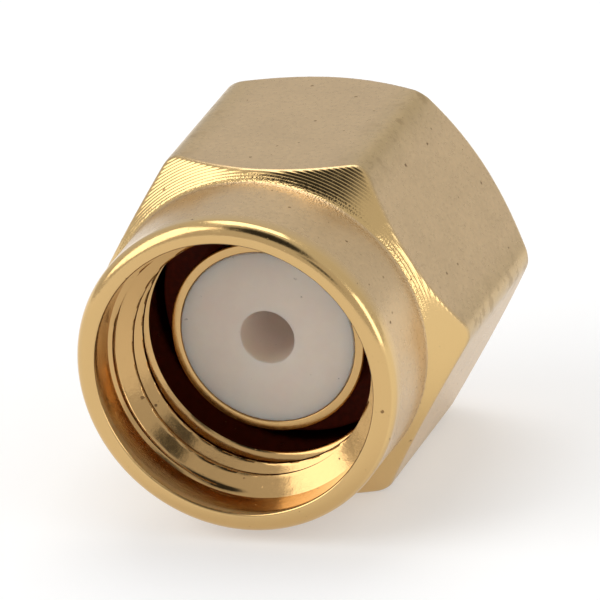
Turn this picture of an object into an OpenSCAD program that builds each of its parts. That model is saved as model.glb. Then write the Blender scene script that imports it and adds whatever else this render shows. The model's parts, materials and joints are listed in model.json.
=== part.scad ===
// Coaxial screw-on plug for semi-rigid cable.
// A hexagon coupling nut with a round, internally threaded collar spins on a turned plug body.
// The axis of the plug lies along Y: the mouth faces -Y and the cable enters from +Y.
// The origin is on the axis, in the mating plane at the front face of the outer conductor.
// All lengths are in millimetres.

/* [Hexagon] */
// Distance across the hexagon's flats
hex_across_flats = 8; // [7.8:0.05:9]
// Rounding radius along the hexagon's six edges
hex_edge_round = 0.5; // [0.1:0.05:0.9]
// Angle of the turned chamfers on the hexagon's corners, measured from the axis
hex_chamfer_angle = 44; // [35:1:55]
// Diameter of the flat circle that the rear chamfer leaves on the rear face
hex_rear_face_d = 7.7; // [7.3:0.05:7.9]
// Length of the whole nut, from its mouth to its rear face
nut_length = 8.6; // [8.2:0.1:9]

/* [Collar] */
// Outer diameter of the round collar in front of the hexagon
collar_d = 7.55; // [7.3:0.05:7.75]
// Length of the collar, from the mouth to the start of the front chamfer
collar_length = 2.5; // [1.8:0.05:3]
// Rounding radius of the collar's outer rim
collar_rim_round = 0.33; // [0.1:0.01:0.36]
// Fillet radius between the collar and the front chamfer
collar_fillet = 0.25; // [0.05:0.05:0.6]
// Break on the inner edge of the mouth
mouth_edge_break = 0.06; // [0.02:0.01:0.12]

/* [Coupling thread] */
// Diameter of the smooth bore between the mouth and the thread
mouth_bore_d = 6.56; // [6.45:0.01:6.7]
// Depth of the smooth bore
mouth_bore_depth = 0.95; // [0.5:0.05:1.1]
// Length of the taper that leads from the smooth bore into the thread
thread_lead_in = 0.25; // [0.1:0.05:0.35]
// Minor diameter of the thread, where a 1/4-36 UNS nut has its crests
thread_minor_d = 5.67; // [5.6:0.01:5.75]
// Length of the thread behind its lead-in
thread_length = 1.35; // [1:0.01:1.4]
// Length of the flare at the inner end of the thread
thread_flare_length = 0.17; // [0.1:0.01:0.3]
// Height that the flare opens, measured on the radius
thread_flare_rise = 0.04; // [0.02:0.01:0.1]
// Diameter of the bore behind the thread, in which the plug body turns
nut_bore_d = 6.4; // [6.35:0.01:6.55]

/* [Outer conductor] */
// Depth of the mating plane behind the nut's mouth
mating_plane_depth = 2.5; // [2.4:0.05:3]
// Outer diameter of the outer conductor's ferrule
ferrule_d = 4.59; // [4.4:0.01:4.64]
// Wall thickness of the ferrule
ferrule_wall = 0.23; // [0.18:0.01:0.35]
// Length of the ferrule in front of the gasket
ferrule_length = 1.85; // [1.5:0.05:2.1]
// Break on the ferrule's front edges
ferrule_edge_break = 0.05; // [0.02:0.01:0.08]

/* [Gasket] */
// Thickness of the sealing gasket, along the axis
gasket_thickness = 1; // [0.7:0.05:1.2]
// Depth of the neck that holds the gasket behind the ferrule
gasket_neck_depth = 0.08; // [0.04:0.01:0.12]

/* [Plug body] */
// Length of the journal that the nut turns on
journal_length = 2.6; // [2.2:0.1:2.9]
// Diameter of the boss behind the journal
boss_d = 5.74; // [5.2:0.02:6]
// Distance that the boss stands out of the nut's rear face
boss_standout = 0.4; // [0.1:0.05:2]
// Chamfer on the boss's outer edge
boss_chamfer = 0.15; // [0.05:0.05:0.3]
// Bore that the cable's outer conductor is soldered into
cable_bore_d = 3.64; // [3.4:0.02:4]
// Lead-in chamfer at the mouth of the cable bore
cable_bore_chamfer = 0.2; // [0.1:0.05:0.4]
// Diameter of the hole in the stop that the cable's outer conductor butts against
cable_stop_d = 3; // [2.6:0.05:3.2]
// Thickness of that stop, along the axis
cable_stop_thickness = 0.45; // [0.3:0.05:0.8]

/* [Retaining ring] */
// Width of the ring, along the axis
ring_width = 0.6; // [0.4:0.05:0.8]
// Radial thickness of the ring
ring_thickness = 0.6; // [0.4:0.05:0.7]
// Distance that the ring stands out of the journal into the nut's groove
ring_engagement = 0.2; // [0.12:0.01:0.28]
// Width of the split in the ring
ring_split = 0.9; // [0.4:0.1:2]
// Distance from the front of the journal to the middle of the ring's groove
ring_distance = 1.3; // [0.9:0.05:1.7]

/* [Insulator] */
// Length of the insulator, from the mating plane to the cable stop
insulator_length = 3.4; // [2.8:0.1:3.8]
// Hole through the insulator for the centre contact
contact_bore_d = 1.27; // [0.9:0.01:1.4]

/* [Fits] */
// Radial running clearance between the nut's bore and the journal
running_gap = 0.06; // [0.02:0.01:0.1]
// Clearance on each side of the ring in the grooves of the nut and of the body
ring_gap = 0.05; // [0.02:0.01:0.08]
// Clearance of pieces that seat in or against the plug body
seat_gap = 0.01; // [0.005:0.005:0.02]
// Radial clearance between the gasket and the nut's bore
gasket_gap = 0.1; // [0.05:0.01:0.2]

/* [Hidden] */
$fn = 96;
// steps in a rounded corner or edge
arc_steps = 6;
// overrun that carries a cut past the face it leaves
cut_overrun = 0.5;

// Places along the axis, counted from the mating plane
mouth_y = -mating_plane_depth;
nut_rear_y = mouth_y + nut_length;
collar_rear_y = mouth_y + collar_length;
lead_in_y = mouth_y + mouth_bore_depth;
thread_front_y = lead_in_y + thread_lead_in;
thread_rear_y = thread_front_y + thread_length;
flare_rear_y = thread_rear_y + thread_flare_length;
gasket_front_y = ferrule_length + seat_gap;
journal_front_y = gasket_front_y + gasket_thickness + seat_gap;
journal_rear_y = journal_front_y + journal_length;
boss_rear_y = nut_rear_y + boss_standout;
ring_y = journal_front_y + ring_distance;
cable_stop_rear_y = insulator_length + cable_stop_thickness;

// Radii
hex_apothem = hex_across_flats / 2;
hex_corner_centre_r = (hex_apothem - hex_edge_round) / cos(30);
hex_blank_r = hex_apothem / cos(30);
collar_r = collar_d / 2;
nut_bore_r = nut_bore_d / 2;
thread_minor_r = thread_minor_d / 2;
mouth_bore_r = mouth_bore_d / 2;
ferrule_r = ferrule_d / 2;
insulator_seat_r = ferrule_r - ferrule_wall;
neck_r = ferrule_r - gasket_neck_depth;
journal_r = nut_bore_r - running_gap;
boss_r = boss_d / 2;
cable_bore_r = cable_bore_d / 2;
cable_stop_r = cable_stop_d / 2;
ring_outer_r = journal_r + ring_engagement;
ring_inner_r = ring_outer_r - ring_thickness;
nut_groove_r = ring_outer_r + ring_gap;
// the ring is pressed in flush with the journal when the nut is snapped on
body_groove_r = ring_inner_r - ring_engagement - ring_gap;
groove_width = ring_width + 2 * ring_gap;

// Points of an arc about c, from angle a0 to angle a1
function arc(c, r, a0, a1) =
    [for (i = [0:arc_steps]) let (a = a0 + (a1 - a0) * i / arc_steps) c + r * [cos(a), sin(a)]];

// Outline of a hexagon with rounded corners, two of them on the X axis
function rounded_hexagon() =
    [for (k = [0:5])
        each arc(hex_corner_centre_r * [cos(60 * k), sin(60 * k)], hex_edge_round, 60 * k - 30, 60 * k + 30)];

// Distance along the axis in which a chamfer climbs the given height
function chamfer_run(height) = height / tan(hex_chamfer_angle);

// Stands a shape drawn about Z on the Y axis, so that a profile's height becomes its place along Y
module along_y() {
    rotate([-90, 0, 0]) children();
}

// Revolves a profile of [radius, place along Y] points
module turned(profile) {
    along_y() rotate_extrude() polygon(profile);
}

// Drills a round hole between two places along Y
module drilled(r, from_y, to_y) {
    along_y() translate([0, 0, from_y]) cylinder(r = r, h = to_y - from_y);
}

// The turned outside of the nut: rim, collar, fillet and the two chamfers over the corners
module nut_blank() {
    fillet_run = collar_fillet * tan(hex_chamfer_angle / 2);
    rear_face_r = hex_rear_face_d / 2;
    turned(concat(
        [[0, mouth_y]],
        arc([collar_r - collar_rim_round, mouth_y + collar_rim_round], collar_rim_round, -90, 0),
        arc([collar_r + collar_fillet, collar_rear_y - fillet_run], collar_fillet,
            180, 180 - hex_chamfer_angle),
        [
            [hex_blank_r, collar_rear_y + chamfer_run(hex_blank_r - collar_r)],
            [hex_blank_r, nut_rear_y - chamfer_run(hex_blank_r - rear_face_r)],
            [rear_face_r, nut_rear_y],
            [0, nut_rear_y]
        ]
    ));
}

// The hexagon bar that the nut is turned from
module hexagon_bar() {
    along_y() translate([0, 0, mouth_y]) linear_extrude(nut_length) polygon(rounded_hexagon());
}

// Mouth, lead-in, thread crests and flare, opened from the front
module nut_mouth() {
    turned([
        [0, mouth_y - cut_overrun],
        [mouth_bore_r + mouth_edge_break + cut_overrun, mouth_y - cut_overrun],
        [mouth_bore_r, mouth_y + mouth_edge_break],
        [mouth_bore_r, lead_in_y],
        [thread_minor_r, thread_front_y],
        [thread_minor_r, thread_rear_y],
        [thread_minor_r + thread_flare_rise, flare_rear_y],
        [0, flare_rear_y]
    ]);
}

module coupling_nut() {
    color("goldenrod") difference() {
        intersection() {
            hexagon_bar();
            nut_blank();
        }
        nut_mouth();
        drilled(nut_bore_r, flare_rear_y, nut_rear_y + cut_overrun);
        drilled(nut_groove_r, ring_y - groove_width / 2, ring_y + groove_width / 2);
    }
}

// Spring ring that holds the nut on the body
module retaining_ring() {
    split_angle = 2 * asin(ring_split / 2 / ring_outer_r);
    color("peru") along_y() rotate([0, 0, 90 + split_angle / 2])
        rotate_extrude(angle = 360 - split_angle)
            translate([ring_inner_r, ring_y - ring_width / 2]) square([ring_thickness, ring_width]);
}

// Soft washer that the mating jack's rim presses on
module sealing_gasket() {
    gasket_rear_y = gasket_front_y + gasket_thickness;
    color("maroon") difference() {
        drilled(nut_bore_r - gasket_gap, gasket_front_y, gasket_rear_y);
        drilled(neck_r + seat_gap, gasket_front_y - cut_overrun, gasket_rear_y + cut_overrun);
    }
}

// The turned outside of the body: ferrule, gasket neck, journal and boss
module body_blank() {
    turned([
        [0, 0],
        [ferrule_r - ferrule_edge_break, 0],
        [ferrule_r, ferrule_edge_break],
        [ferrule_r, ferrule_length],
        [neck_r, ferrule_length],
        [neck_r, journal_front_y],
        [journal_r, journal_front_y],
        [journal_r, ring_y - groove_width / 2],
        [body_groove_r, ring_y - groove_width / 2],
        [body_groove_r, ring_y + groove_width / 2],
        [journal_r, ring_y + groove_width / 2],
        [journal_r, journal_rear_y],
        [boss_r, journal_rear_y],
        [boss_r, boss_rear_y - boss_chamfer],
        [boss_r - boss_chamfer, boss_rear_y],
        [0, boss_rear_y]
    ]);
}

// Chamfered mouth of the cable bore
module cable_bore_mouth() {
    along_y() translate([0, 0, boss_rear_y - cable_bore_chamfer])
        cylinder(r1 = cable_bore_r, r2 = cable_bore_r + cable_bore_chamfer + cut_overrun,
            h = cable_bore_chamfer + cut_overrun);
}

module plug_body() {
    color("gold") difference() {
        body_blank();
        drilled(insulator_seat_r, -cut_overrun, insulator_length);
        drilled(cable_stop_r, insulator_length - cut_overrun, cable_stop_rear_y + cut_overrun);
        drilled(cable_bore_r, cable_stop_rear_y, boss_rear_y + cut_overrun);
        cable_bore_mouth();
    }
}

module insulator() {
    color("linen") difference() {
        drilled(insulator_seat_r - seat_gap, 0, insulator_length - seat_gap);
        drilled(contact_bore_d / 2, -cut_overrun, insulator_length + cut_overrun);
    }
}

coupling_nut();
retaining_ring();
sealing_gasket();
plug_body();
insulator();
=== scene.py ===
"""Dresses a packed coaxial plug.

A worn, gold-plated hexagon nut with a threaded collar turns on a plug body, which carries a silicone
gasket, a translucent insulator and the spring ring that holds the nut. Lengths are in metres, the plug's
axis lies along Y, and the mouth faces -Y.
"""

import json
import math

import bpy
from bpy.props import FloatProperty, FloatVectorProperty, IntProperty, PointerProperty
from bpy.types import Operator, Panel, PropertyGroup
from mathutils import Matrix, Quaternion, Vector


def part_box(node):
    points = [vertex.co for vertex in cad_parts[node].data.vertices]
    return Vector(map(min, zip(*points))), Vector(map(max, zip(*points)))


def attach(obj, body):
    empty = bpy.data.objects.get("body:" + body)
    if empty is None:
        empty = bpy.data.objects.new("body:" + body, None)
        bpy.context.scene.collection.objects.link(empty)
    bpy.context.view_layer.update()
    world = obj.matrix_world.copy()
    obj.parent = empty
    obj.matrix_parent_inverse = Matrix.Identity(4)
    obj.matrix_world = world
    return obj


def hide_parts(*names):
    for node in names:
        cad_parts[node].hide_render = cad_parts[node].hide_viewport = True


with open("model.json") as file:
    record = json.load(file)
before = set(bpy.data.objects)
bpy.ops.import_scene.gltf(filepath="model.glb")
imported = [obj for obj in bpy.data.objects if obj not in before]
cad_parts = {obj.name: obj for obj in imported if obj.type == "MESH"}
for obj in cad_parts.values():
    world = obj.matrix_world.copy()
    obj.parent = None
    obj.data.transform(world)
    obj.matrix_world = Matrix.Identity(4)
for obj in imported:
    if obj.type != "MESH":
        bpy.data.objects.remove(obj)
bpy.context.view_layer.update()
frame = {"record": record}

bl_info = {
    "name": "Coaxial Plug Dresser",
    "version": (1, 0, 0),
    "blender": (4, 5, 0),
    "location": "View3D > Sidebar > Plug",
    "description": "Builds the turned, plated and moulded pieces of a coaxial plug",
    "category": "Object",
}

MM = 0.001
MERGE_DISTANCE = 0.0005 * MM
SMOOTH_ANGLE = math.radians(35)
HALF_SECTOR = math.pi / 6  # half of the angle that one flat of the hexagon takes

# Small forms of the nut
MOUTH_EDGE = 0.06 * MM
CREST_WIDTH = 0.12 * MM
CREST_BLEND = 0.03 * MM
ROOT_BLEND = 0.05 * MM
THREAD_BLEND = 0.02 * MM
BORE_MARGIN = 0.3 * MM
CHATTER_WIDTH = 0.34 * MM

# Small forms of the plug body and of what it carries
BODY_EDGE = 0.05 * MM
FERRULE_EDGE = 0.03 * MM
BOSS_EDGE = 0.15 * MM
CABLE_CHAMFER = 0.2 * MM
GASKET_EDGE = 0.08 * MM
BEAD_EDGE = 0.03 * MM
RING_EDGE = 0.04 * MM

# Rows of faces along the nut's outline
FRONT_CHAMFER_ROWS = 86
REAR_CHAMFER_ROWS = 24
THREAD_ROWS = 62

MOUNTS = {m["name"]: m for m in frame["record"]["mounts"]}
NUT_LOW, NUT_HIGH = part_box("coupling_nut")
BODY_LOW, BODY_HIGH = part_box("plug_body")
RING_LOW, RING_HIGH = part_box("retaining_ring")
GASKET_LOW, GASKET_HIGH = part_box("sealing_gasket")
BEAD_LOW, BEAD_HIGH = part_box("insulator")


def mount_radius(name):
    """Radius of a round mount, in metres."""
    return MOUNTS[name]["dims"]["r_mm"] * MM


def mount_length(name):
    """Length of a round mount's wall, in metres."""
    return MOUNTS[name]["dims"]["length_mm"] * MM


# ---------------------------------------------------------------- sizes and colours


class PlugNutSizes(PropertyGroup):
    """Sizes of the coupling nut"""

    collar_radius: FloatProperty(
        name="Collar radius", description="Outer radius of the round collar",
        default=3.775 * MM, unit="LENGTH", precision=6)
    collar_length: FloatProperty(
        name="Collar length", description="From the mouth to the front chamfer",
        default=2.5 * MM, unit="LENGTH", precision=6)
    rim_round: FloatProperty(
        name="Rim rounding", description="Rounding radius of the collar's outer rim",
        default=0.33 * MM, unit="LENGTH", precision=6)
    fillet: FloatProperty(
        name="Collar fillet", description="Fillet between the collar and the front chamfer",
        default=0.25 * MM, unit="LENGTH", precision=6)
    edge_round: FloatProperty(
        name="Hexagon edge rounding", description="Rounding radius along the hexagon's edges",
        default=0.5 * MM, unit="LENGTH", precision=6)
    edge_blend: FloatProperty(
        name="Chamfer edge blend", description="Width over which a flat blends into a turned chamfer",
        default=0.07 * MM, unit="LENGTH", precision=6)
    chamfer_angle: FloatProperty(
        name="Chamfer angle", description="Angle of the turned chamfers to the axis",
        default=math.radians(44), subtype="ANGLE")
    rear_face_radius: FloatProperty(
        name="Rear face radius", description="Radius of the circle that the rear chamfer leaves",
        default=3.85 * MM, unit="LENGTH", precision=6)
    groove_pitch: FloatProperty(
        name="Turning groove pitch", description="Distance between the tool's grooves on the chamfers",
        default=0.075 * MM, unit="LENGTH", precision=6)
    groove_depth: FloatProperty(
        name="Turning groove depth", description="Depth of the tool's grooves on the chamfers",
        default=0.008 * MM, unit="LENGTH", precision=6)
    mouth_bore_depth: FloatProperty(
        name="Mouth bore depth", description="From the mouth to the thread's lead-in",
        default=0.95 * MM, unit="LENGTH", precision=6)
    lead_in: FloatProperty(
        name="Lead-in", description="Length of the taper into the thread",
        default=0.25 * MM, unit="LENGTH", precision=6)
    thread_pitch: FloatProperty(
        name="Thread pitch", description="Axial distance between two turns",
        default=25.4 / 36 * MM, unit="LENGTH", precision=6)
    thread_root_radius: FloatProperty(
        name="Thread root radius", description="Radius of the thread's root in the nut",
        default=3.2 * MM, unit="LENGTH", precision=6)
    thread_start: FloatProperty(
        name="Thread start angle", description="Turns the thread about the axis",
        default=math.radians(0), subtype="ANGLE")
    thread_run_out: FloatProperty(
        name="Thread run-out", description="Length over which the thread fades at its inner end",
        default=0.15 * MM, unit="LENGTH", precision=6)
    flare_length: FloatProperty(
        name="Thread flare length", description="Length of the flare at the thread's inner end",
        default=0.17 * MM, unit="LENGTH", precision=6)
    flare_rise: FloatProperty(
        name="Thread flare rise", description="Height that the flare opens",
        default=0.04 * MM, unit="LENGTH", precision=6)
    bore_radius: FloatProperty(
        name="Bore radius", description="Radius of the bore behind the thread",
        default=3.2 * MM, unit="LENGTH", precision=6)
    groove_clearance: FloatProperty(
        name="Ring groove clearance", description="Clearance of the spring ring in its groove",
        default=0.05 * MM, unit="LENGTH", precision=6)
    steps: IntProperty(
        name="Steps", description="Steps of the nut's turning round the axis", default=360, min=36)


class PlugCoreSizes(PropertyGroup):
    """Sizes of the pieces inside the nut"""

    ferrule_wall: FloatProperty(
        name="Ferrule wall", description="Wall thickness of the outer conductor's ferrule",
        default=0.23 * MM, unit="LENGTH", precision=6)
    ferrule_length: FloatProperty(
        name="Ferrule length", description="From the mating plane to the gasket",
        default=1.85 * MM, unit="LENGTH", precision=6)
    neck_depth: FloatProperty(
        name="Neck depth", description="Depth of the neck that holds the gasket",
        default=0.08 * MM, unit="LENGTH", precision=6)
    seat_gap: FloatProperty(
        name="Seat gap", description="Clearance of pieces that seat on the body",
        default=0.01 * MM, unit="LENGTH", precision=6)
    boss_radius: FloatProperty(
        name="Boss radius", description="Radius of the boss behind the journal",
        default=2.87 * MM, unit="LENGTH", precision=6)
    journal_length: FloatProperty(
        name="Journal length", description="Length of the journal that the nut turns on",
        default=2.6 * MM, unit="LENGTH", precision=6)
    ring_thickness: FloatProperty(
        name="Ring thickness", description="Radial thickness of the spring ring",
        default=0.6 * MM, unit="LENGTH", precision=6)
    ring_engagement: FloatProperty(
        name="Ring engagement", description="How far the ring stands out of the journal",
        default=0.2 * MM, unit="LENGTH", precision=6)
    cable_stop_radius: FloatProperty(
        name="Cable stop radius", description="Radius of the hole in the cable stop",
        default=1.5 * MM, unit="LENGTH", precision=6)
    cable_stop_thickness: FloatProperty(
        name="Cable stop thickness", description="Thickness of the cable stop",
        default=0.45 * MM, unit="LENGTH", precision=6)
    steps: IntProperty(
        name="Steps", description="Steps of each piece's turning round the axis", default=240, min=36)


class PlugFinishes(PropertyGroup):
    """Colours of the pieces"""

    dull_gold: FloatVectorProperty(
        name="Dull gold", description="Colour of the plating on the flats and round the collar",
        default=(0.65, 0.465, 0.255), subtype="COLOR", min=0, max=1)
    bright_gold: FloatVectorProperty(
        name="Bright gold", description="Colour of the plating on the rim, the chamfers and the bore",
        default=(0.70, 0.48, 0.21), subtype="COLOR", min=0, max=1)
    # Painted shade: a darker gold for the nut's bore, part of the mouth face and the whole plug body,
    # standing in for the shade inside the nut.
    bore_shade_gold: FloatVectorProperty(
        name="Bore gold", description="Colour of the plating in the nut's bore and on the ferrule",
        default=(0.56, 0.35, 0.145), subtype="COLOR", min=0, max=1)
    edge_gold: FloatVectorProperty(
        name="Edge gold", description="Colour of the plating along the worn edges",
        default=(0.50, 0.36, 0.16), subtype="COLOR", min=0, max=1)
    tarnish: FloatVectorProperty(
        name="Tarnish", description="Colour of the tarnish in specks and pits",
        default=(0.16, 0.085, 0.035), subtype="COLOR", min=0, max=1)
    silicone: FloatVectorProperty(
        name="Silicone", description="Colour of the gasket", default=(0.15, 0.018, 0.006),
        subtype="COLOR", min=0, max=1)
    bead: FloatVectorProperty(
        name="Insulator", description="Colour of the insulator's fluoropolymer",
        default=(0.93, 0.80, 0.71), subtype="COLOR", min=0, max=1)
    dust: FloatVectorProperty(
        name="Dust", description="Colour of the dust and fibres on the insulator",
        default=(0.16, 0.11, 0.07), subtype="COLOR", min=0, max=1)
    bronze: FloatVectorProperty(
        name="Bronze", description="Colour of the spring ring", default=(0.55, 0.32, 0.16),
        subtype="COLOR", min=0, max=1)


class PlugStageSizes(PropertyGroup):
    """The floor, the lamps and the camera"""

    azimuth: FloatProperty(
        name="Azimuth", description="Angle of the camera round the object, from the front",
        default=math.radians(19.7), subtype="ANGLE")
    elevation: FloatProperty(
        name="Elevation", description="Angle of the camera above the floor",
        default=math.radians(22.3), subtype="ANGLE")
    roll: FloatProperty(
        name="Roll", description="Tilt of the camera to its right",
        default=math.radians(4.53), subtype="ANGLE")
    distance: FloatProperty(
        name="Distance", description="From the camera to the point it is aimed at",
        default=0.2708, unit="LENGTH", precision=6)
    focal_length: FloatProperty(
        name="Focal length", description="Focal length of the camera's lens, in millimetres",
        default=725.3)
    aim: FloatVectorProperty(
        name="Aim", description="Point that the camera is aimed at",
        default=(1.335 * MM, -1.348 * MM, 1.552 * MM), unit="LENGTH", precision=6)
    room: FloatProperty(
        name="Room brightness", description="Brightness of the room's walls", default=0.68, min=0)
    floor_colour: FloatVectorProperty(
        name="Floor colour", description="Colour of the floor", default=(0.70, 0.70, 0.70),
        subtype="COLOR", min=0, max=1)
    floor_lift: FloatProperty(
        name="Floor lift", description="Light that the floor adds where it is seen as the background",
        default=0.34, min=0)
    lamp_distance: FloatProperty(
        name="Lamp distance", description="From each lamp to the object", default=0.6, unit="LENGTH")
    lamp_power: FloatProperty(
        name="Lamp power", description="Power of each lamp for each square metre of its face",
        default=6.6, min=0)


# ---------------------------------------------------------------- shapes


def line(start, end, count):
    """Points from start up to but not including end."""
    return [
        (start[0] + (end[0] - start[0]) * i / count, start[1] + (end[1] - start[1]) * i / count)
        for i in range(count)
    ]


def arc(centre, radius, start, end, count):
    """Points of an arc from one angle to another, both ends included."""
    angles = [start + (end - start) * i / count for i in range(count + 1)]
    return [(centre[0] + radius * math.cos(a), centre[1] + radius * math.sin(a)) for a in angles]


def clamp(value):
    """The value, kept between 0 and 1."""
    return max(0.0, min(1.0, value))


def soft_min(a, b, width):
    """The smaller of two lengths, blended where they differ by less than width."""
    share = clamp(0.5 + 0.5 * (b - a) / width)
    return b + (a - b) * share - width * share * (1 - share)


def soft_max(a, b, width):
    """The larger of two lengths, blended where they differ by less than width."""
    return -soft_min(-a, -b, width)


def turn(name, profile, steps):
    """Spins a closed profile of (radius, place along Y) points round the Y axis into a piece."""
    bpy.ops.object.select_all(action="DESELECT")
    bpy.ops.mesh.primitive_circle_add(vertices=len(profile), radius=MM)
    piece = bpy.context.object
    piece.name = piece.data.name = name
    for vertex, (radius, place) in zip(piece.data.vertices, profile):
        vertex.co = (radius, place, 0)
    bpy.ops.object.mode_set(mode="EDIT")
    bpy.ops.mesh.select_all(action="SELECT")
    bpy.ops.mesh.spin(
        steps=steps, angle=math.tau, center=(0, 0, 0), axis=(0, 1, 0), use_normal_flip=False)
    bpy.ops.mesh.select_all(action="SELECT")
    bpy.ops.mesh.remove_doubles(threshold=MERGE_DISTANCE)
    bpy.ops.mesh.normals_make_consistent(inside=False)
    bpy.ops.object.mode_set(mode="OBJECT")
    return piece


def finish_piece(piece, body, node, material):
    """Gives a piece its finish and its body, and hides the solid that it stands for."""
    bpy.ops.object.select_all(action="DESELECT")
    piece.select_set(True)
    bpy.context.view_layer.objects.active = piece
    bpy.ops.object.shade_smooth_by_angle(angle=SMOOTH_ANGLE)
    piece.data.materials.clear()
    piece.data.materials.append(material)
    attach(piece, body)
    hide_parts(node)


def off_corner(angle):
    """Angle to the nearest corner of a hexagon with corners on the X axis."""
    return abs((angle + HALF_SECTOR) % (2 * HALF_SECTOR) - HALF_SECTOR)


def rounded_hexagon_radius(angle, apothem, edge_round):
    """Distance from the axis to a rounded hexagon with corners on the X axis."""
    off = off_corner(angle)
    centre = (apothem - edge_round) / math.cos(HALF_SECTOR)
    tangent = HALF_SECTOR - math.atan2(centre * math.sin(HALF_SECTOR), apothem)
    if off >= tangent:
        return apothem / math.cos(HALF_SECTOR - off)
    return centre * math.cos(off) + math.sqrt(edge_round**2 - (centre * math.sin(off)) ** 2)


def nut_profile(s):
    """Closed outline of the nut's wall, from the rim round the outside to the bore and the mouth."""
    mouth, rear = NUT_LOW.y, NUT_HIGH.y
    apothem = NUT_HIGH.z
    blank = apothem / math.cos(HALF_SECTOR)
    slope = math.tan(s.chamfer_angle)
    cone_start = mouth + s.collar_length
    fillet_run = s.fillet * math.tan(s.chamfer_angle / 2)
    cone_foot = (
        s.collar_radius + fillet_run * math.sin(s.chamfer_angle),
        cone_start + fillet_run * math.cos(s.chamfer_angle),
    )
    cone_top = (blank, cone_start + (blank - s.collar_radius) / slope)
    rear_top = (blank, rear - (blank - s.rear_face_radius) / slope)
    mouth_radius = mount_radius("mouth_bore")
    crest = mount_radius("coupling_thread")
    thread_front = mouth + s.mouth_bore_depth + s.lead_in
    thread_rear = thread_front + mount_length("coupling_thread")
    flare_rear = thread_rear + s.flare_length
    edge = MOUTH_EDGE
    ring_radius = RING_HIGH.x + s.groove_clearance
    ring_front = RING_LOW.y - s.groove_clearance
    ring_rear = RING_HIGH.y + s.groove_clearance
    points = arc((mouth_radius + edge, mouth + edge), edge, math.pi, math.pi * 1.5, 4)
    points += arc(
        (s.collar_radius - s.rim_round, mouth + s.rim_round), s.rim_round, -math.pi / 2, 0, 12)
    points += line(points[-1], (s.collar_radius, cone_start - fillet_run), 6)[1:]
    points += arc(
        (s.collar_radius + s.fillet, cone_start - fillet_run), s.fillet,
        math.pi, math.pi - s.chamfer_angle, 6)[:-1]
    points += line(cone_foot, cone_top, FRONT_CHAMFER_ROWS)
    points += line(cone_top, rear_top, 8)
    points += line(rear_top, (s.rear_face_radius, rear), REAR_CHAMFER_ROWS)
    points += line((s.rear_face_radius, rear), (s.bore_radius + edge, rear), 3)
    points += [(s.bore_radius, rear - edge)]
    points += [(s.bore_radius, ring_rear), (ring_radius, ring_rear)]
    points += [(ring_radius, ring_front), (s.bore_radius, ring_front)]
    points += [(s.bore_radius, flare_rear)]
    points += line((crest + s.flare_rise, flare_rear), (crest, thread_rear), 6)
    points += line((crest, thread_rear), (crest, thread_front), THREAD_ROWS)
    points += line((crest, thread_front), (mouth_radius, mouth + s.mouth_bore_depth), 10)
    points += line((mouth_radius, mouth + s.mouth_bore_depth), (mouth_radius, mouth + edge), 5)
    return points


def outer_wall(s):
    """Radius beyond which a point of the nut is on its outside and not in its bore."""
    return s.bore_radius + BORE_MARGIN


def press_hexagon(piece, s):
    """Draws the turned outside in to the hexagon's flats, with soft edges where they meet."""
    apothem = NUT_HIGH.z
    start = NUT_LOW.y + s.collar_length
    flat = piece.data.attributes.new("flat_share", "FLOAT", "POINT")
    for vertex in piece.data.vertices:
        radius = math.hypot(vertex.co.x, vertex.co.z)
        if radius < outer_wall(s) or vertex.co.y < start:
            continue
        angle = math.atan2(vertex.co.z, vertex.co.x)
        limit = rounded_hexagon_radius(angle, apothem, s.edge_round)
        pressed = soft_min(radius, limit, s.edge_blend)
        flat.data[vertex.index].value = clamp(0.5 + (radius - limit) / s.edge_blend)
        vertex.co.x *= pressed / radius
        vertex.co.z *= pressed / radius


def cut_chamfer_grooves(piece, s):
    """Presses the tool's fine grooves into both chamfers."""
    front = NUT_LOW.y + s.collar_length
    along = s.groove_pitch * math.sin(s.chamfer_angle)
    flat = piece.data.attributes["flat_share"].data
    for vertex in piece.data.vertices:
        radius = math.hypot(vertex.co.x, vertex.co.z)
        if radius <= s.collar_radius + 0.01 * MM or vertex.co.y <= front:
            continue
        wave = abs(math.sin(math.pi * (radius - s.collar_radius) / along))
        cut = -s.groove_depth * wave * (1 - flat[vertex.index].value)
        vertex.co.x *= 1 + cut / radius
        vertex.co.z *= 1 + cut / radius


def thread_radius(place, angle, s):
    """Radius of the right-hand internal thread at a place on the bore."""
    crest = mount_radius("coupling_thread")
    phase = (place / s.thread_pitch + (angle - s.thread_start) / math.tau) % 1
    off_centre = abs(phase - 0.5) * s.thread_pitch
    flank = ((s.thread_pitch - CREST_WIDTH) / 2 - off_centre) / math.tan(math.pi / 6)
    depth = soft_min(flank, s.thread_root_radius - crest, ROOT_BLEND)
    return crest + soft_max(depth, 0, CREST_BLEND)


def cut_thread(piece, s):
    """Cuts the helical thread into the bore between the mouth bore and the flare."""
    front = NUT_LOW.y + s.mouth_bore_depth - 0.001 * MM
    rear = front + s.lead_in + mount_length("coupling_thread") + s.flare_length + 0.002 * MM
    crest = mount_radius("coupling_thread")
    widest = mount_radius("mouth_bore") + 0.01 * MM
    for vertex in piece.data.vertices:
        radius = math.hypot(vertex.co.x, vertex.co.z)
        if radius > widest or not front < vertex.co.y < rear:
            continue
        cut = thread_radius(vertex.co.y, math.atan2(vertex.co.z, vertex.co.x), s)
        run_out = clamp((rear - s.flare_length - vertex.co.y) / s.thread_run_out)
        wide = soft_max(radius, crest + (cut - crest) * run_out, THREAD_BLEND)
        vertex.co.x *= wide / radius
        vertex.co.z *= wide / radius


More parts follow.
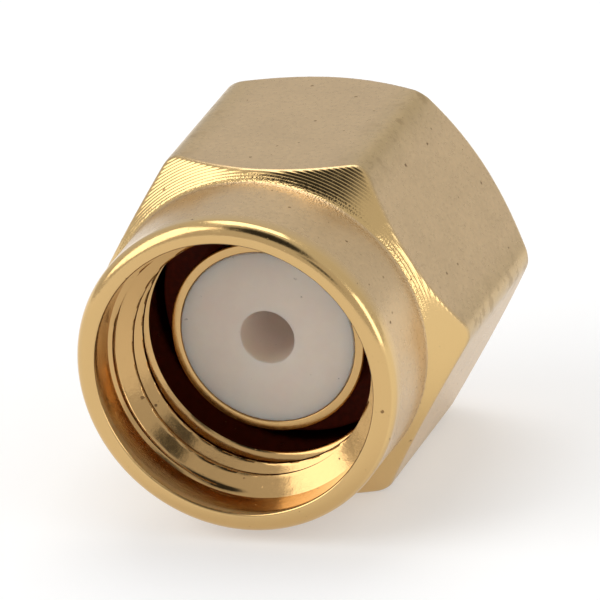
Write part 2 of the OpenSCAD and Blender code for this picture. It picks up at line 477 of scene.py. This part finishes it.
def mark_wear_and_painted_shade(piece, s):
    """Marks where the plating is dull, worn along an edge or rough from the tool, and where painted
    shade darkens the bore and the mouth face.
    """
    data = piece.data
    for name in ("dull_share", "edge_share", "chatter_share", "bore_shade_share"):
        data.attributes.new(name, "FLOAT", "POINT")
    flat, dull, edge, chatter, bore = (
        data.attributes[name].data
        for name in ("flat_share", "dull_share", "edge_share", "chatter_share", "bore_shade_share"))
    mouth, cone = NUT_LOW.y, NUT_LOW.y + s.collar_length
    corner = s.edge_round * 1.3 / NUT_HIGH.z
    for vertex in data.vertices:
        radius, place = math.hypot(vertex.co.x, vertex.co.z), vertex.co.y
        index = vertex.index
        # Painted shade: the bore takes the darker gold in full and the mouth face takes part of it.
        if radius < outer_wall(s) and place > mouth + 0.2 * MM:
            bore[index].value = 1
            continue
        bore[index].value = 0.45 if place < mouth + 0.1 * MM else 0.0
        on_collar = clamp((place - mouth - s.rim_round) / (0.25 * MM)) if place < cone else 0.0
        dull[index].value = max(flat[index].value, on_collar)
        off = off_corner(math.atan2(vertex.co.z, vertex.co.x))
        edge[index].value = flat[index].value * max(0.0, 1 - off / corner)
        near = abs(place - (cone - 0.12 * MM)) / CHATTER_WIDTH
        chatter[index].value = max(0.0, 1 - near) if radius < s.collar_radius + 0.2 * MM else 0.0


# ---------------------------------------------------------------- node groups


class Graph:
    """Adds nodes to a tree and links them; a socket, a number, a colour or None goes in each input."""

    def __init__(self, tree):
        self.nodes, self.links = tree.nodes, tree.links

    def set(self, socket, value):
        if value is None:
            return
        if isinstance(value, bpy.types.NodeSocket):
            self.links.new(value, socket)
        else:
            socket.default_value = value

    def node(self, kind, inputs=None, **settings):
        node = self.nodes.new("ShaderNode" + kind)
        for name, value in settings.items():
            setattr(node, name, value)
        for name, value in (inputs or {}).items():
            self.set(node.inputs[name], value)
        return node

    def math(self, operation, a, b=None, c=None):
        return self.node("Math", {0: a, 1: b, 2: c}, operation=operation).outputs[0]

    def fade(self, value, start, end, low=0.0, high=1.0):
        span = {"Value": value, "From Min": start, "From Max": end, "To Min": low, "To Max": high}
        return self.node("MapRange", span, interpolation_type="SMOOTHSTEP").outputs["Result"]

    def mix(self, share, a, b, blend="MIX"):
        node = self.node("Mix", data_type="RGBA", blend_type=blend)
        self.set(node.inputs[0], share)
        self.set(node.inputs[6], a)
        self.set(node.inputs[7], b)
        return node.outputs[2]

    def attribute(self, name):
        return self.node("Attribute", attribute_type="GEOMETRY", attribute_name=name).outputs["Fac"]

    def millimetres(self):
        place = self.node("TexCoord").outputs["Object"]
        return self.node("VectorMath", {0: place, "Scale": 1000.0}, operation="SCALE").outputs["Vector"]

    def group(self, name, **inputs):
        node = self.nodes.new("ShaderNodeGroup")
        node.node_tree = shared_group(name)
        for key, value in inputs.items():
            self.set(node.inputs[key.replace("_", " ").capitalize()], value)
        return node.outputs


def shared_group(name):
    """A node group by name, built the first time that it is asked for."""
    if name in bpy.data.node_groups:
        return bpy.data.node_groups[name]
    inputs, outputs, build = GROUP_BUILDERS[name]
    tree = bpy.data.node_groups.new(name, "ShaderNodeTree")
    for key, default in inputs.items():
        socket = tree.interface.new_socket(name=key, in_out="INPUT", socket_type="NodeSocketFloat")
        socket.default_value = default
    for key in outputs:
        tree.interface.new_socket(name=key, in_out="OUTPUT", socket_type="NodeSocketFloat")
    graph = Graph(tree)
    source = tree.nodes.new("NodeGroupInput")
    sink = tree.nodes.new("NodeGroupOutput")
    for key, value in build(graph, source.outputs).items():
        tree.links.new(value, sink.inputs[key])
    return tree


def build_specks(g, inputs):
    """Small round specks, scattered with gaps between them."""
    place = g.millimetres()
    wobble = g.node("TexNoise", {"Vector": place, "Scale": 14.0, "Detail": 2.0}).outputs["Color"]
    bent = g.node("VectorMath", {0: wobble, "Scale": 0.08}, operation="SCALE").outputs["Vector"]
    bent = g.node("VectorMath", {0: place, 1: bent}, operation="ADD").outputs["Vector"]
    cells = g.node("TexVoronoi", {"Vector": bent, "Scale": inputs["Density"]}, voronoi_dimensions="3D")
    pick = g.node("SeparateColor", {"Color": cells.outputs["Color"]}).outputs
    here = g.math("LESS_THAN", pick["Red"], inputs["Share"])
    radius = g.math("MULTIPLY", g.math("MULTIPLY_ADD", pick["Green"], 0.8, 0.35), inputs["Size"])
    radius = g.math("MULTIPLY", radius, inputs["Density"])
    inner = g.math("MULTIPLY", radius, 0.45)
    spot = g.fade(cells.outputs["Distance"], radius, inner)
    return {"Mask": g.math("MULTIPLY", spot, here)}


def build_mottle(g, inputs):
    """Cloudy change of tone, from 0 to 1."""
    settings = {"Vector": g.millimetres(), "Scale": inputs["Scale"], "Detail": 4.0, "Roughness": 0.62}
    noise = g.node("TexNoise", settings)
    return {"Value": g.fade(noise.outputs["Fac"], 0.32, 0.68)}


def build_turning(g, inputs):
    """Fine irregular lines that a lathe tool leaves round the Y axis."""
    parts = g.node("SeparateXYZ", {"Vector": g.millimetres()}).outputs
    squares = g.math("MULTIPLY_ADD", parts["X"], parts["X"], g.math("MULTIPLY", parts["Z"], parts["Z"]))
    run = g.math("MULTIPLY_ADD", parts["Y"], 1.3, g.math("SQRT", squares))
    turned = g.math("ARCTAN2", parts["Z"], parts["X"])
    scaled = g.node("CombineXYZ", {
        "X": g.math("MULTIPLY", g.math("COSINE", turned), 0.7),
        "Y": g.math("MULTIPLY", g.math("SINE", turned), 0.7),
        "Z": g.math("MULTIPLY", run, inputs["Lines per mm"]),
    }).outputs[0]
    noise = g.node("TexNoise", {"Vector": scaled, "Scale": 1.0, "Detail": 3.0, "Roughness": 0.6})
    return {"Height": noise.outputs["Fac"]}


def build_scratches(g, inputs):
    """Short hairline scratches in two directions."""
    place = g.millimetres()
    marks = None
    for angles, stretch in (
            ((0.3, 0.5, 0.9), (26.0, 2.2, 26.0)),
            ((1.1, -0.4, 0.2), (2.4, 24.0, 24.0))):
        turned = g.node("Mapping", {"Vector": place, "Rotation": angles, "Scale": stretch}).outputs[0]
        noise = g.node("TexNoise", {"Vector": turned, "Scale": inputs["Scale"], "Detail": 1.0})
        off_line = g.math("ABSOLUTE", g.math("SUBTRACT", noise.outputs["Fac"], 0.5))
        hairline = g.fade(off_line, 0.012, 0.0)
        marks = hairline if marks is None else g.math("MAXIMUM", marks, hairline)
    patchy = g.node("TexNoise", {"Vector": place, "Scale": 1.3}).outputs["Fac"]
    return {"Mask": g.math("MULTIPLY", marks, g.fade(patchy, 0.45, 0.62))}


GROUP_BUILDERS = {
    "specks": ({"Density": 2.0, "Share": 0.2, "Size": 0.05}, ("Mask",), build_specks),
    "mottle": ({"Scale": 3.0}, ("Value",), build_mottle),
    "turning": ({"Lines per mm": 20.0}, ("Height",), build_turning),
    "scratches": ({"Scale": 1.0}, ("Mask",), build_scratches),
}


# ---------------------------------------------------------------- finishes


def new_material(name):
    """An empty node material with a Principled surface; returns (material, graph, shader)."""
    material = bpy.data.materials.new(name)
    material.use_nodes = True
    material.node_tree.nodes.clear()
    graph = Graph(material.node_tree)
    shader = graph.node("BsdfPrincipled")
    output = graph.node("OutputMaterial")
    material.node_tree.links.new(shader.outputs["BSDF"], output.inputs["Surface"])
    return material, graph, shader


def set_bump(g, shader, height, distance):
    """Shades a surface by a height, whose whole range stands for a distance in metres."""
    bump = g.node("Bump", {"Strength": 1.0, "Distance": distance, "Height": height})
    g.set(shader.inputs["Normal"], bump.outputs["Normal"])


def plated_nut_finish(colours):
    """Worn gold plating: dull on the flats, bright where turned, tarnished in specks and along edges,
    with painted shade in the bore and on the mouth face.
    """
    material, g, shader = new_material("worn_gold_plating")
    dull = g.attribute("dull_share")
    edge = g.attribute("edge_share")
    chatter = g.attribute("chatter_share")
    cloud = g.group("mottle", Scale=1.1)["Value"]
    grain = g.group("mottle", Scale=9.0)["Value"]
    specks = g.group("specks", Density=2.6, Share=0.42, Size=0.06)["Mask"]
    fine = g.group("specks", Density=8.0, Share=0.22, Size=0.022)["Mask"]
    scratches = g.group("scratches", Scale=1.0)["Mask"]
    cluster = g.math("MULTIPLY", fine, g.fade(cloud, 0.35, 0.8))
    gold = g.mix(dull, (*colours.bright_gold, 1), (*colours.dull_gold, 1))
    # Painted shade: darker gold in the bore and on the mouth face.
    gold = g.mix(g.attribute("bore_shade_share"), gold, (*colours.bore_shade_gold, 1))
    gold = g.mix(g.math("MULTIPLY", edge, 0.55), gold, (*colours.edge_gold, 1))
    shade = g.math("MULTIPLY_ADD", grain, 0.6, g.math("MULTIPLY", cloud, 0.4))
    tone = g.math("MULTIPLY_ADD", shade, 0.16, 0.92)
    tone = g.math("MULTIPLY_ADD", g.math("SUBTRACT", tone, 1.0), dull, 1.0)
    grey = g.node("CombineColor", {"Red": tone, "Green": tone, "Blue": tone}).outputs[0]
    gold = g.mix(1.0, gold, grey, "MULTIPLY")
    stain = g.math("MULTIPLY", edge, g.fade(g.group("mottle", Scale=2.6)["Value"], 0.62, 0.95))
    dark = g.math("MAXIMUM", specks, g.math("MULTIPLY", cluster, 0.7))
    dark = g.math("MAXIMUM", dark, g.math("MULTIPLY", stain, 0.35))
    gold = g.mix(g.math("MULTIPLY", dark, 0.8), gold, (*colours.tarnish, 1))
    g.set(shader.inputs["Base Color"], gold)
    shader.inputs["Metallic"].default_value = 1
    rough = g.math("MULTIPLY_ADD", dull, 0.16, 0.11)
    rough = g.math("MULTIPLY_ADD", grain, 0.05, rough)
    rough = g.math("MULTIPLY_ADD", dark, 0.25, rough)
    g.set(shader.inputs["Roughness"], rough)
    turning = g.group("turning", Lines_per_mm=26.0)["Height"]
    turned = g.math("MULTIPLY", turning, g.math("SUBTRACT", 1.0, dull))
    pits = g.math("MULTIPLY", g.math("MAXIMUM", specks, fine), -1.2)
    ripple = g.math("MULTIPLY_ADD", grain, 0.35, pits)
    ripple = g.math("MULTIPLY_ADD", scratches, -0.25, ripple)
    relief = g.math("MULTIPLY_ADD", turned, 0.9, ripple)
    glitter = g.node("TexVoronoi", {"Vector": g.millimetres(), "Scale": 22.0}).outputs["Distance"]
    relief = g.math("MULTIPLY_ADD", g.math("MULTIPLY", glitter, chatter), 9.0, relief)
    set_bump(g, shader, relief, 0.0013 * MM)
    return material


def plated_body_finish(colours):
    """Gold plating in the bore's darker gold, a painted shade for the body deep in the nut, with faint
    turning lines and a few specks.
    """
    material, g, shader = new_material("body_gold_plating")
    specks = g.group("specks", Density=3.0, Share=0.25, Size=0.035)["Mask"]
    grain = g.group("mottle", Scale=6.0)["Value"]
    # Painted shade: the body takes the bore's darker gold.
    gold = g.mix(g.math("MULTIPLY", specks, 0.75), (*colours.bore_shade_gold, 1), (*colours.tarnish, 1))
    gold = g.mix(g.math("MULTIPLY", grain, 0.18), gold, (*colours.edge_gold, 1))
    g.set(shader.inputs["Base Color"], gold)
    shader.inputs["Metallic"].default_value = 1
    g.set(shader.inputs["Roughness"], g.math("MULTIPLY_ADD", grain, 0.08, 0.14))
    turning = g.group("turning", Lines_per_mm=30.0)["Height"]
    set_bump(g, shader, turning, 0.001 * MM)
    return material


def silicone_finish(colours):
    """Dark red silicone with a faint moulded grain."""
    material, g, shader = new_material("dark_red_silicone")
    grain = g.group("mottle", Scale=7.0)["Value"]
    lighter = tuple(min(1.0, c * 1.5) for c in colours.silicone)
    g.set(shader.inputs["Base Color"], g.mix(grain, (*colours.silicone, 1), (*lighter, 1)))
    g.set(shader.inputs["Roughness"], g.math("MULTIPLY_ADD", grain, 0.12, 0.5))
    shader.inputs["Specular IOR Level"].default_value = 0.25
    set_bump(g, shader, grain, 0.002 * MM)
    return material


def insulator_finish(colours):
    """Translucent fluoropolymer with cut marks, specks of dust and hairline scratches."""
    material, g, shader = new_material("translucent_fluoropolymer")
    cloud = g.group("mottle", Scale=0.8)["Value"]
    specks = g.group("specks", Density=2.6, Share=0.55, Size=0.055)["Mask"]
    fine = g.group("specks", Density=7.0, Share=0.10, Size=0.018)["Mask"]
    scratches = g.group("scratches", Scale=0.8)["Mask"]
    dark = g.math("MAXIMUM", specks, g.math("MULTIPLY", fine, 0.7))
    paler = tuple(min(1.0, c * 1.05) for c in colours.bead)
    white = g.mix(cloud, (*colours.bead, 1), (*paler, 1))
    g.set(shader.inputs["Base Color"], g.mix(g.math("MULTIPLY", dark, 0.75), white, (*colours.dust, 1)))
    g.set(shader.inputs["Roughness"], g.math("MULTIPLY_ADD", scratches, 0.2, 0.42))
    shader.inputs["IOR"].default_value = 1.38
    shader.inputs["Subsurface Weight"].default_value = 1
    shader.inputs["Subsurface Radius"].default_value = (1.0, 0.82, 0.7)
    shader.inputs["Subsurface Scale"].default_value = 0.5 * MM
    turning = g.group("turning", Lines_per_mm=14.0)["Height"]
    height = g.math("MULTIPLY_ADD", scratches, -0.8, turning)
    set_bump(g, shader, height, 0.001 * MM)
    return material


def bronze_finish(colours):
    """Spring bronze with faint turning lines."""
    material, g, shader = new_material("spring_bronze")
    grain = g.group("mottle", Scale=5.0)["Value"]
    darker = tuple(c * 0.7 for c in colours.bronze)
    g.set(shader.inputs["Base Color"], g.mix(grain, (*colours.bronze, 1), (*darker, 1)))
    shader.inputs["Metallic"].default_value = 1
    g.set(shader.inputs["Roughness"], g.math("MULTIPLY_ADD", grain, 0.15, 0.25))
    turning = g.group("turning", Lines_per_mm=22.0)["Height"]
    set_bump(g, shader, turning, 0.001 * MM)
    return material


# ---------------------------------------------------------------- stage

# name, azimuth from the front and elevation in degrees, width and height in metres
LAMPS = (
    ("lamp_left", -60, 32, 0.44, 0.50),
    ("lamp_right", 76, 14, 0.26, 0.30),
    ("lamp_top", -165, 68, 0.40, 0.34),
)

# azimuth and elevation in degrees of the room's dark places, their radius in degrees and their darkness
SHADES = (
    (9, 60, 19, 0.95),
    (19.7, 22.3, 7, 0.85),
)


def bearing(azimuth, elevation):
    """Direction from the object, by the angles from the front towards +X and above the floor."""
    return Vector((
        math.sin(azimuth) * math.cos(elevation),
        -math.cos(azimuth) * math.cos(elevation),
        math.sin(elevation),
    ))


def add_lamp(name, azimuth, elevation, width, height, s):
    """A soft rectangular lamp, aimed at the object."""
    away = bearing(azimuth, elevation)
    bpy.ops.object.light_add(type="AREA", location=away * s.lamp_distance)
    lamp = bpy.context.object
    lamp.name = name
    lamp.rotation_mode = "QUATERNION"
    lamp.rotation_quaternion = (-away).to_track_quat("-Z", "Y")
    lamp.data.shape = "RECTANGLE"
    lamp.data.size, lamp.data.size_y = width, height
    lamp.data.energy = s.lamp_power * width * height


def studio_room(s):
    """A plain grey room with the dark places that a camera and its stand leave in it."""
    world = bpy.data.worlds.new("studio")
    world.use_nodes = True
    g = Graph(world.node_tree)
    place = g.node("TexCoord").outputs["Generated"]
    level = s.room
    for azimuth, elevation, radius, darkness in SHADES:
        towards = bearing(math.radians(azimuth), math.radians(elevation))
        near = g.node("VectorMath", {0: place, 1: towards}, operation="DOT_PRODUCT").outputs["Value"]
        outer, inner = math.cos(math.radians(radius * 1.45)), math.cos(math.radians(radius * 0.8))
        level = g.math("MULTIPLY", g.fade(near, outer, inner, 1.0, 1 - darkness), level)
    background = world.node_tree.nodes["Background"]
    background.inputs["Color"].default_value = (1, 1, 1, 1)
    g.set(background.inputs["Strength"], level)
    return world


def floor_finish(s):
    """Matt white floor that keeps its shadows and shows as a white background."""
    material, g, shader = new_material("pale_floor")
    shader.inputs["Base Color"].default_value = (*s.floor_colour, 1)
    shader.inputs["Roughness"].default_value = 1
    shader.inputs["Specular IOR Level"].default_value = 0
    rays = g.node("LightPath").outputs
    seen = g.math("MAXIMUM", rays["Is Camera Ray"], rays["Is Glossy Ray"])
    seen = g.math("MAXIMUM", seen, rays["Is Transmission Ray"])
    shader.inputs["Emission Color"].default_value = (1, 1, 1, 1)
    g.set(shader.inputs["Emission Strength"], g.math("MULTIPLY", seen, s.floor_lift))
    return material


# ---------------------------------------------------------------- operators


class PLUG_OT_nut(Operator):
    """Build the coupling nut with its turned chamfers and its thread"""

    bl_idname = "plug.nut"
    bl_label = "Coupling Nut"

    def execute(self, context):
        sizes = context.scene.plug_nut
        nut = turn("nut_shell", nut_profile(sizes), sizes.steps)
        press_hexagon(nut, sizes)
        cut_chamfer_grooves(nut, sizes)
        cut_thread(nut, sizes)
        mark_wear_and_painted_shade(nut, sizes)
        finish_piece(nut, "nut", "coupling_nut",
                     plated_nut_finish(context.scene.plug_finishes))
        return {"FINISHED"}


class PLUG_OT_body(Operator):
    """Build the turned plug body with its ferrule, journal and boss"""

    bl_idname = "plug.body"
    bl_label = "Plug Body"

    def execute(self, context):
        s, nut = context.scene.plug_core, context.scene.plug_nut
        ferrule = mount_radius("outer_conductor")
        seat = ferrule - s.ferrule_wall
        neck = ferrule - s.neck_depth
        journal = BODY_HIGH.x
        front, rear = BODY_LOW.y, BODY_HIGH.y
        journal_front = s.ferrule_length + 2 * s.seat_gap + (GASKET_HIGH.y - GASKET_LOW.y)
        journal_rear = journal_front + s.journal_length
        ring_front = RING_LOW.y - nut.groove_clearance
        ring_rear = RING_HIGH.y + nut.groove_clearance
        ring_floor = RING_HIGH.x - s.ring_thickness - s.ring_engagement - nut.groove_clearance
        cable = mount_radius("cable_bore")
        stop_rear = rear - mount_length("cable_bore") - CABLE_CHAMFER
        stop_front = stop_rear - s.cable_stop_thickness
        lip, soft, bevel = FERRULE_EDGE, BODY_EDGE, BOSS_EDGE
        profile = arc((seat + lip, front + lip), lip, math.pi, 1.5 * math.pi, 4)
        profile += arc((ferrule - soft, front + soft), soft, -math.pi / 2, 0, 5)
        profile += [(ferrule, s.ferrule_length), (neck, s.ferrule_length), (neck, journal_front)]
        profile += [(journal - soft, journal_front), (journal, journal_front + soft)]
        profile += [(journal, ring_front), (ring_floor, ring_front), (ring_floor, ring_rear)]
        profile += [(journal, ring_rear), (journal, journal_rear - soft)]
        profile += [(journal - soft, journal_rear), (s.boss_radius, journal_rear)]
        profile += arc((s.boss_radius - bevel, rear - bevel), bevel, 0, math.pi / 2, 6)
        profile += [(cable + CABLE_CHAMFER, rear), (cable, rear - CABLE_CHAMFER), (cable, stop_rear)]
        profile += [(s.cable_stop_radius, stop_rear), (s.cable_stop_radius, stop_front)]
        profile += [(seat, stop_front)]
        body = turn("turned_body", profile, s.steps)
        finish_piece(body, "plug", "plug_body",
                     plated_body_finish(context.scene.plug_finishes))
        return {"FINISHED"}


class PLUG_OT_gasket(Operator):
    """Build the silicone gasket"""

    bl_idname = "plug.gasket"
    bl_label = "Gasket"

    def execute(self, context):
        s = context.scene.plug_core
        inner = mount_radius("outer_conductor") - s.neck_depth + s.seat_gap
        outer, front, rear = GASKET_HIGH.x, GASKET_LOW.y, GASKET_HIGH.y
        soft = GASKET_EDGE
        profile = arc((inner + soft, front + soft), soft, math.pi, 1.5 * math.pi, 5)
        profile += arc((outer - soft, front + soft), soft, -math.pi / 2, 0, 5)
        profile += arc((outer - soft, rear - soft), soft, 0, math.pi / 2, 5)
        profile += arc((inner + soft, rear - soft), soft, math.pi / 2, math.pi, 5)
        gasket = turn("silicone_gasket", profile, s.steps)
        finish_piece(gasket, "plug", "sealing_gasket",
                     silicone_finish(context.scene.plug_finishes))
        return {"FINISHED"}


class PLUG_OT_insulator(Operator):
    """Build the insulator with its contact hole"""

    bl_idname = "plug.insulator"
    bl_label = "Insulator"

    def execute(self, context):
        s = context.scene.plug_core
        hole, outer = mount_radius("contact_bore"), BEAD_HIGH.x
        front, rear = BEAD_LOW.y, BEAD_HIGH.y
        soft = BEAD_EDGE
        profile = arc((hole + soft, front + soft), soft, math.pi, 1.5 * math.pi, 4)
        profile += arc((outer - soft, front + soft), soft, -math.pi / 2, 0, 4)
        profile += [(outer, rear), (hole, rear)]
        bead = turn("insulator_bead", profile, s.steps)
        finish_piece(bead, "plug", "insulator",
                     insulator_finish(context.scene.plug_finishes))
        return {"FINISHED"}


class PLUG_OT_ring(Operator):
    """Build the spring ring"""

    bl_idname = "plug.ring"
    bl_label = "Retaining Ring"

    def execute(self, context):
        s = context.scene.plug_core
        outer, front, rear = RING_HIGH.x, RING_LOW.y, RING_HIGH.y
        inner = outer - s.ring_thickness
        soft = RING_EDGE
        profile = arc((inner + soft, front + soft), soft, math.pi, 1.5 * math.pi, 3)
        profile += arc((outer - soft, front + soft), soft, -math.pi / 2, 0, 3)
        profile += arc((outer - soft, rear - soft), soft, 0, math.pi / 2, 3)
        profile += arc((inner + soft, rear - soft), soft, math.pi / 2, math.pi, 3)
        ring = turn("spring_ring", profile, s.steps)
        finish_piece(ring, "plug", "retaining_ring",
                     bronze_finish(context.scene.plug_finishes))
        return {"FINISHED"}


class PLUG_OT_stage(Operator):
    """Set up the floor, the lamps and the camera"""

    bl_idname = "plug.stage"
    bl_label = "Stage"

    def execute(self, context):
        s = context.scene.plug_stage
        scene = context.scene
        bpy.ops.object.select_all(action="DESELECT")
        bpy.ops.mesh.primitive_plane_add(size=2, location=(0, 0, NUT_LOW.z))
        floor = bpy.context.object
        floor.name = "floor"
        floor.data.materials.append(floor_finish(s))
        scene.world = studio_room(s)
        for name, azimuth, elevation, width, height in LAMPS:
            add_lamp(name, math.radians(azimuth), math.radians(elevation), width, height, s)
        back = bearing(s.azimuth, s.elevation)
        bpy.ops.object.camera_add(location=Vector(s.aim) + back * s.distance)
        camera = bpy.context.object
        camera.rotation_mode = "QUATERNION"
        camera.rotation_quaternion = (-back).to_track_quat("-Z", "Y") @ Quaternion((0, 0, 1), -s.roll)
        camera.data.lens = s.focal_length
        camera.data.clip_start = 0.01
        camera.data.clip_end = 10
        scene.camera = camera
        scene.view_settings.view_transform = "Standard"
        return {"FINISHED"}


class PLUG_PT_panel(Panel):
    """Lists the plug's pieces and their sizes"""

    bl_idname = "PLUG_PT_panel"
    bl_label = "Coaxial Plug"
    bl_space_type = "VIEW_3D"
    bl_region_type = "UI"
    bl_category = "Plug"

    def draw(self, context):
        for group in (context.scene.plug_nut, context.scene.plug_core,
                      context.scene.plug_finishes, context.scene.plug_stage):
            for name in group.__annotations__:
                self.layout.prop(group, name)
        for operator in PIECES:
            self.layout.operator(operator.bl_idname)


PIECES = (PLUG_OT_nut, PLUG_OT_body, PLUG_OT_gasket, PLUG_OT_insulator, PLUG_OT_ring, PLUG_OT_stage)
GROUPS = {
    "plug_nut": PlugNutSizes,
    "plug_core": PlugCoreSizes,
    "plug_finishes": PlugFinishes,
    "plug_stage": PlugStageSizes,
}


def register():
    for cls in (*GROUPS.values(), *PIECES, PLUG_PT_panel):
        bpy.utils.register_class(cls)
    for name, cls in GROUPS.items():
        setattr(bpy.types.Scene, name, PointerProperty(type=cls))


def unregister():
    for name in GROUPS:
        delattr(bpy.types.Scene, name)
    for cls in (PLUG_PT_panel, *reversed(PIECES), *GROUPS.values()):
        bpy.utils.unregister_class(cls)


def main():
    """Builds every piece and the stage."""
    register()
    bpy.ops.plug.nut()
    bpy.ops.plug.body()
    bpy.ops.plug.gasket()
    bpy.ops.plug.insulator()
    bpy.ops.plug.ring()
    bpy.ops.plug.stage()


if __name__ == "__main__":
    main()
